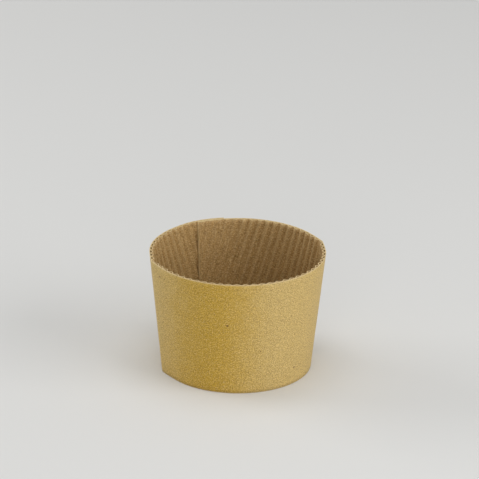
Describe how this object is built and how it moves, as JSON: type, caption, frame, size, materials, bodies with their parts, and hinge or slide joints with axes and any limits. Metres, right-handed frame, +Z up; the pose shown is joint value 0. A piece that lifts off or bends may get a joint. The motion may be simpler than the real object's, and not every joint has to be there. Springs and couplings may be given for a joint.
{
  "type": "coffee cup sleeve",
  "caption": "Tapered wrap of single-face corrugated board, open at both ends, that slides up a hot paper cup to keep the hand cool.",
  "frame": {"origin": "centre of the lower, narrower edge, midway between the two creases", "axes": "+Z up towards the wider edge, X through the two creases, +Y towards the glued lap at the back"},
  "size_m": [0.074, 0.0733, 0.05],
  "materials": {
    "kraft_board": "uncoated brown kraft, matt, with fine fibres and specks"
  },
  "bodies": {
    "root": {"sleeve": "kraft_board"}
  },
  "joints": []
}
